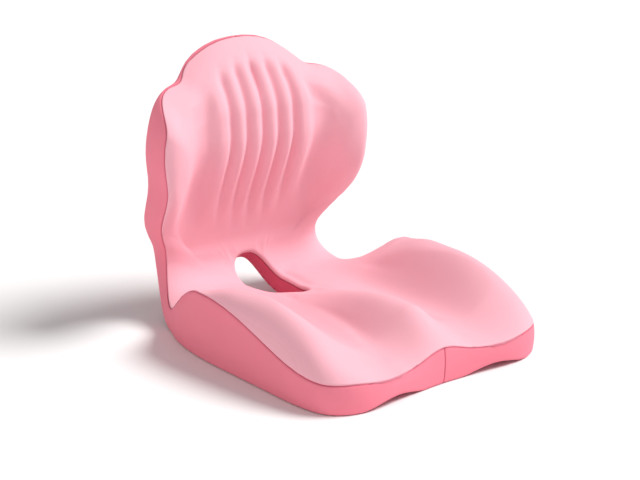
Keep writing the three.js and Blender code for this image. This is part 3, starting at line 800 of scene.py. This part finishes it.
# the zip on the rear face, in row millimetres: x across, y out of the rear face, z up
coilBox = [corner * 1000 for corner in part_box("zip_coil")]
sliderBox = [corner * 1000 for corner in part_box("zip_slider")]
pullBox = [corner * 1000 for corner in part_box("zip_pull")]
zipZ = (coilBox[0].z + coilBox[1].z) / 2
zipFace = coilBox[0].y


def sweptTube(points, ring, radius):
    # a small ring of points carried along a path, square to it at every point
    way = np.gradient(points, axis=0)
    way /= np.linalg.norm(way, axis=1)[:, None]
    side = np.cross(way, np.array([1.0, 0, 0]))
    side /= np.linalg.norm(side, axis=1)[:, None] + 1e-9
    up = np.cross(side, way)
    turn = np.linspace(0, 2 * math.pi, ring, endpoint=False)
    across, over = np.cos(turn)[None, :, None], np.sin(turn)[None, :, None]
    return points[:, None] + radius * (across * side[:, None] + over * up[:, None])


def joined(name, grids):
    # grids of closed rings in mm as one mesh; an entry is (points, last row joins the first)
    points, faces, caps, start = [], [], [], 0
    for grid, closed in grids:
        m, n = grid.shape[:2]
        points.append(grid.reshape(-1, 3))
        faces.append(gridFaces(m, n, wrapRows=closed, wrapColumns=True) + start)
        if not closed:
            caps += [start + np.arange(n), start + (m - 1) * n + np.arange(n)[::-1]]
        start += m * n
    return cappedMesh(name, np.vstack(points) / 1000, np.vstack(faces), caps)


def cappedMesh(name, points, faces, caps):      # quads plus flat end faces, turned to point outwards
    made = bpy.data.meshes.new(name)
    polygons = [tuple(f) for f in faces.tolist()] + [tuple(c.tolist()) for c in caps]
    made.from_pydata(points.tolist(), [], polygons)
    work = bmesh.new()
    work.from_mesh(made)
    bmesh.ops.recalc_face_normals(work, faces=work.faces)
    work.to_mesh(made)
    work.free()
    made.shade_smooth()
    made.set_sharp_from_angle(angle=math.radians(48))
    thing = bpy.data.objects.new(name, made)
    scene.collection.objects.link(thing)
    return thing


def finishPiece(thing, material, nodes, body):
    thing.data.materials.append(material)
    if nodes:
        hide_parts(*nodes)
    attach(thing, body)


coil = {"pitch": 1.3, "turnPoints": 9, "ring": 5, "wire": 0.34, "reachZ": 1.2, "reachY": 0.72,
        "offset": 0.72, "lift": 1.08, "endGap": 0.6}


def makeCoil():
    # two elliptical helices along x, half a turn apart, whose outer loops interlock on the middle line
    first, last = coilBox[0].x + coil["endGap"], coilBox[1].x - coil["endGap"]
    x = np.arange(first, last, coil["pitch"] / coil["turnPoints"])
    turn = 2 * math.pi * x / coil["pitch"]
    grids = []
    for side in (-1, 1):
        phase = turn if side > 0 else turn + math.pi
        y = zipFace + coil["lift"] + coil["reachY"] * np.sin(phase)
        z = zipZ + side * (coil["offset"] - coil["reachZ"] * np.cos(phase))
        path = np.stack([x, y, z], -1)
        grids.append((sweptTube(path, coil["ring"], coil["wire"]), False))
    finishPiece(joined("zipCoil", grids), coilMaterial(), ("zip_coil",), "back")


placket = {"inner": 4.6, "outer": 22.0, "halfLength": 139.0, "steps": 90, "wave": 0.25, "ripple": 0.12,
           "halfThickness": 0.62, "sunk": 0.15, "tuck": 0.7, "endDip": 0.8}


def makePlacket(name, side):
    # a strip beside the coil: a rounded flat section carried along x, waving slightly, with its
    # outer edge and both ends tucked into the panel
    turn = np.linspace(0, 2 * math.pi, 28, endpoint=False)
    across = np.sign(np.cos(turn)) * np.abs(np.cos(turn)) ** 0.3
    high = np.sign(np.sin(turn)) * np.abs(np.sin(turn)) ** 0.7
    t = np.linspace(-1, 1, placket["steps"])
    close = (1 - np.abs(t) ** 26)[:, None]
    middle = (placket["inner"] + placket["outer"]) / 2
    half = (placket["outer"] - placket["inner"]) / 2
    x = t[:, None] * placket["halfLength"] + 0 * across[None]
    wave = placket["wave"] * np.sin(t * 31 + side) * np.sin(t * 13)
    z = zipZ + side * (middle + half * across[None] * (0.94 + 0.06 * close) + wave[:, None] * 0.5)
    tuck = smooth(0.8, 1, across[None] + 0 * z)        # the outer edge sinks into the panel
    y = zipFace - placket["sunk"] + placket["halfThickness"] * high[None] * (0.25 + 0.75 * close)
    y = y - placket["tuck"] * tuck - placket["endDip"] * (1 - close)
    y = y + placket["ripple"] * np.sin(t * 57 + 2 * side)[:, None] * close
    piece = joined(name, [(np.stack([x, y, z], -1), False)])
    finishPiece(piece, clothOnObject("placketCloth" + name[len("placket"):]), (), "back")


stitches = {"step": 3.7, "length": 2.7, "radius": 0.27, "rows": (6.2, 18.6), "halfRow": 133, "lift": 0.47}


def makeStitches():
    # capsules of thread in straight rows: a half-sunk round bar whose ends dip into the cloth
    x = np.arange(-stitches["halfRow"], stitches["halfRow"] + 0.1, stitches["step"])
    t = np.linspace(-1, 1, 6)
    turn = np.linspace(0, 2 * math.pi, 6, endpoint=False)
    grids = []
    for side in (-1, 1):
        for row in stitches["rows"]:
            for start in x:
                bow = 0.18 - 0.42 * t ** 4
                radius = stitches["radius"] * (1 - 0.6 * t ** 6)
                px = start + t[:, None] * stitches["length"] / 2 + 0 * turn[None]
                py = zipFace + stitches["lift"] + bow[:, None] + radius[:, None] * np.sin(turn)[None]
                pz = zipZ + side * row + radius[:, None] * np.cos(turn)[None]
                grids.append((np.stack([px, py, pz], -1), False))
    finishPiece(joined("zipStitches", grids), threadMaterial(), (), "back")


slider = {"rings": 22, "around": 36, "flare": 0.16, "pinRadius": 0.9, "roof": 3.95, "round": 1.3,
          "foot": 0.1, "channelHalf": 2.5, "channelTop": 2.5, "postInset": 1.05, "postHalf": (1.2, 0.6)}


def makeSlider():
    # a bridge-shaped section carried along x, rounded at both ends and narrower towards the open
    # end, with two posts that hold the pin
    low, high = sliderBox
    midX, midZ = (low.x + high.x) / 2, (low.z + high.z) / 2
    halfX, halfZ = (high.x - low.x) / 2, (high.z - low.z) / 2
    roof, foot, channel = slider["roof"], slider["foot"], slider["channelHalf"]
    channelTop = slider["channelTop"]
    wall, flat = roof - 1.0, halfZ - slider["round"]
    section = roundedLoop(np.array([
        (-halfZ, foot), (-halfZ, wall), (-flat, roof), (flat, roof), (halfZ, wall), (halfZ, foot),
        (channel, foot), (channel, channelTop), (-channel, channelTop), (-channel, foot),
    ]), slider["around"])
    t = np.linspace(-1, 1, slider["rings"])[:, None]
    end = (1 - np.abs(t) ** 6) ** 0.5
    shrink = 0.9 + 0.1 * end - slider["flare"] * smooth(-0.2, 1, -t)
    z = midZ + section[None, :, 0] * np.where(np.abs(section[None, :, 0]) > 2.6, shrink, 1)
    y = zipFace + section[None, :, 1] * np.where(section[None, :, 1] > 2.6, 0.93 + 0.07 * end, 1)
    shell = np.stack([midX + t * halfX + 0 * z, y, z], -1)
    pinY = (pullBox[0].y + pullBox[1].y) / 2
    turn = np.linspace(0, 2 * math.pi, 12, endpoint=False)[None]
    grids = [(shell, False)]
    for side in (-1, 1):
        postZ = midZ + side * (halfZ - slider["postInset"])
        taper = 1.15 - 0.35 * np.linspace(0, 1, 8)[:, None]
        px = midX + slider["postHalf"][0] * np.cos(turn) * taper
        pz = postZ + slider["postHalf"][1] * np.sin(turn) + 0 * px
        py = np.linspace(zipFace + roof - 0.2, pinY + 0.75, 8)[:, None] + 0 * px
        grids.append((np.stack([px, py, pz], -1), False))
    t = np.linspace(-1, 1, 12)[:, None]
    radius = slider["pinRadius"] * np.where(np.abs(t) > 0.98, 0.8, 1)
    reach = halfZ - 0.3
    pinX = midX + radius * np.cos(turn)
    pin = np.stack([pinX, pinY + radius * np.sin(turn), midZ + t * reach + 0 * turn], -1)
    grids.append((pin, False))
    finishPiece(joined("zipSlider", grids), metal, ("zip_slider",), "zip_slider")


def roundedLoop(corners, count):        # closed loop of a polygon, resampled by length and eased once
    loopHere = np.vstack([corners, corners[:1]])
    run = np.concatenate([[0], np.cumsum(np.linalg.norm(np.diff(loopHere, axis=0), axis=1))])
    s = np.linspace(0, run[-1], count * 4, endpoint=False)
    points = np.stack([np.interp(s, run, loopHere[:, k]) for k in (0, 1)], -1)
    for _ in range(3):
        points = (2 * points + np.roll(points, 1, 0) + np.roll(points, -1, 0)) / 4
    return points[::2]


pull = {"thickness": 1.4, "holeRadius": 1.1, "holeFromEnd": 3.4, "bevel": 0.3, "waist": 0.22,
        "eyeRadius": 1.75, "eyeHalfWall": 0.5, "fill": 0.98}


def makePull():
    # blade: a long rounded outline joined to its hole by a bevelled section;
    # eye: a rounded rectangle section turned about the pin
    low, high = pullBox
    pinX = (sliderBox[0].x + sliderBox[1].x) / 2
    midY, midZ, halfZ = (low.y + high.y) / 2, (low.z + high.z) / 2, (high.z - low.z) / 2
    tip, root = low.x, pinX - pull["eyeRadius"]
    turn = np.linspace(0, 2 * math.pi, 72, endpoint=False)
    halfX = (root - tip) / 2
    x = np.sign(np.cos(turn)) * np.abs(np.cos(turn)) ** 0.28
    z = np.sign(np.sin(turn)) * np.abs(np.sin(turn)) ** 0.5
    narrow = 1 - pull["waist"] * bell(x - 0.35, 0.45)
    outer = np.stack([tip + halfX + halfX * x, z * halfZ * pull["fill"] * narrow], -1)
    circle = np.stack([np.cos(turn), np.sin(turn)], -1)
    hole = np.array([tip + pull["holeFromEnd"], 0]) + pull["holeRadius"] * circle
    half, bevel = pull["thickness"] / 2, pull["bevel"]
    flatShares = (0.02, 0.12, 0.4, 0.8, 0.97)
    steps = [(0, -half + bevel), (0, half - bevel)] + [(share, half) for share in flatShares]
    steps += [(1, half - bevel), (1, -half + bevel)] + [(share, -half) for share in reversed(flatShares)]
    rows = []
    for share, lift in steps:
        at = mix(hole, outer, share)
        rows.append(np.stack([at[:, 0], midY + lift + 0 * turn, midZ + at[:, 1]], -1))
    grids = [(np.stack(rows), True)]
    ring = np.linspace(0, 2 * math.pi, 32, endpoint=False)
    part = np.linspace(0, 2 * math.pi, 16, endpoint=False)
    wall = pull["eyeHalfWall"] * np.sign(np.cos(part)) * np.abs(np.cos(part)) ** 0.5
    reach = pull["eyeRadius"] + wall
    wide = halfZ * pull["fill"] * np.sign(np.sin(part)) * np.abs(np.sin(part)) ** 0.35
    eye = np.stack([pinX + reach[None] * np.cos(ring)[:, None], midY + reach[None] * np.sin(ring)[:, None],
                    midZ + wide[None] + 0 * ring[:, None]], -1)
    grids.append((eye, True))
    finishPiece(joined("zipPull", grids), metal, ("zip_pull",), "zip_pull")


def metalMaterial():        # satin nickel with fine brushing and faint smudges
    run = NodeRun("satinNickel")
    smudge = run.noise(160, 3)
    shade = run.blend(smudge, (0.5, 0.49, 0.47, 1), (0.62, 0.61, 0.59, 1))
    run.link(shade, run.shader.inputs["Base Color"])
    run.link(run.math("MULTIPLY_ADD", smudge, 0.2, 0.22), run.shader.inputs["Roughness"])
    run.shader.inputs["Metallic"].default_value = 1.0
    run.bumpInto(run.noise(2600, 3), 0.00003)
    return run.material


def coilMaterial():     # dyed nylon wire
    run = NodeRun("rosyNylon")
    tone = run.noise(240, 2)
    run.colour(tone, (206, 92, 114), (182, 70, 94))
    run.shader.inputs["Roughness"].default_value = 0.38
    return run.material


def threadMaterial():       # two-ply sewing thread: slanted twist lines
    run = NodeRun("roseThread")
    x, z = run.place()
    plyPitch = 0.0006
    twist = run.math("MULTIPLY_ADD", run.wave(run.math("ADD", x, z), plyPitch), 0.5, 0.5)
    run.colour(twist, (196, 84, 108), (226, 118, 140))
    run.shader.inputs["Roughness"].default_value = 0.6
    run.bumpInto(twist, 0.00005)
    return run.material


def tapeMaterial():     # zip tape: slanted threads that turn like a herringbone
    run = NodeRun("wovenTape")
    x, z = run.place()
    turnEvery, threadPitch = 0.0024, 0.0007
    part = run.math("FRACT", run.math("DIVIDE", z, turnEvery))
    zig = run.math("ABSOLUTE", run.math("SUBTRACT", part, 0.5))
    line = run.math("MULTIPLY_ADD", zig, turnEvery, x)
    thread = run.math("MULTIPLY_ADD", run.wave(line, threadPitch), 0.5, 0.5)
    run.colour(thread, (172, 62, 86), (214, 98, 122))
    run.shader.inputs["Roughness"].default_value = 0.8
    run.bumpInto(thread, 0.00012)
    return run.material


def clothOnObject(name):        # the underside cloth's fine weave, for the flat strips
    run = NodeRun(name)
    x, z = run.place()
    weavePitch = 0.0011
    crossed = run.math("MULTIPLY", run.wave(x, weavePitch), run.wave(z, weavePitch))
    weave = run.math("MULTIPLY_ADD", crossed, 0.5, 0.5)
    tone = run.math("MULTIPLY_ADD", run.noise(22, 3), 0.3, run.math("MULTIPLY", weave, 0.25))
    run.colour(tone, (238, 122, 143), (190, 70, 98))
    run.shader.inputs["Roughness"].default_value = 0.8
    run.shader.inputs["Sheen Weight"].default_value = 0.12
    run.bumpInto(weave, 0.0001)
    return run.material


def giveMaterial(node, material):
    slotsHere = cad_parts[node].data.materials
    slotsHere.clear()
    slotsHere.append(material)


metal = metalMaterial()
tape = tapeMaterial()
for node in ("zip_tape_upper", "zip_tape_lower"):
    giveMaterial(node, tape)
for node in ("zip_top_stop", "zip_bottom_stop"):
    giveMaterial(node, metal)
makeCoil()
makePlacket("placketUpper", 1)
makePlacket("placketLower", -1)
makeStitches()
makeSlider()
makePull()
print("zip made")
